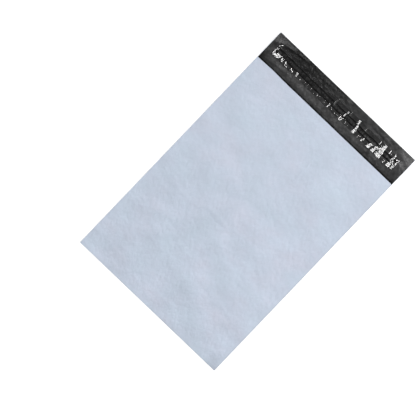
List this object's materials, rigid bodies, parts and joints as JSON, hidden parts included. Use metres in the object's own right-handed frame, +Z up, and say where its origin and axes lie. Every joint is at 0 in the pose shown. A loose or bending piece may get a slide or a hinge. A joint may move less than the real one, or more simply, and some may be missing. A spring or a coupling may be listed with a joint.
{
  "type": "poly mailer bag",
  "caption": "Flat plastic film mailing bag with side-welded pocket and an open closing flap that carries adhesive under a crinkled release liner.",
  "frame": {"origin": "on the surface that the bag lies on, under the middle of its outline", "axes": "+X across the bag, +Y from the bottom fold to the flap, +Z up, out of the front layer"},
  "size_m": [0.25, 0.3913, 0.0025],
  "materials": {
    "mailer_film": "satin pale blue-grey outside, charcoal inside",
    "hot_melt": "tacky, looks near black on the charcoal film",
    "release_film": "clear, glossy, crinkled"
  },
  "bodies": {
    "root": {"bag_film": "mailer_film", "adhesive_strip": "hot_melt", "release_liner": "release_film"}
  },
  "joints": []
}
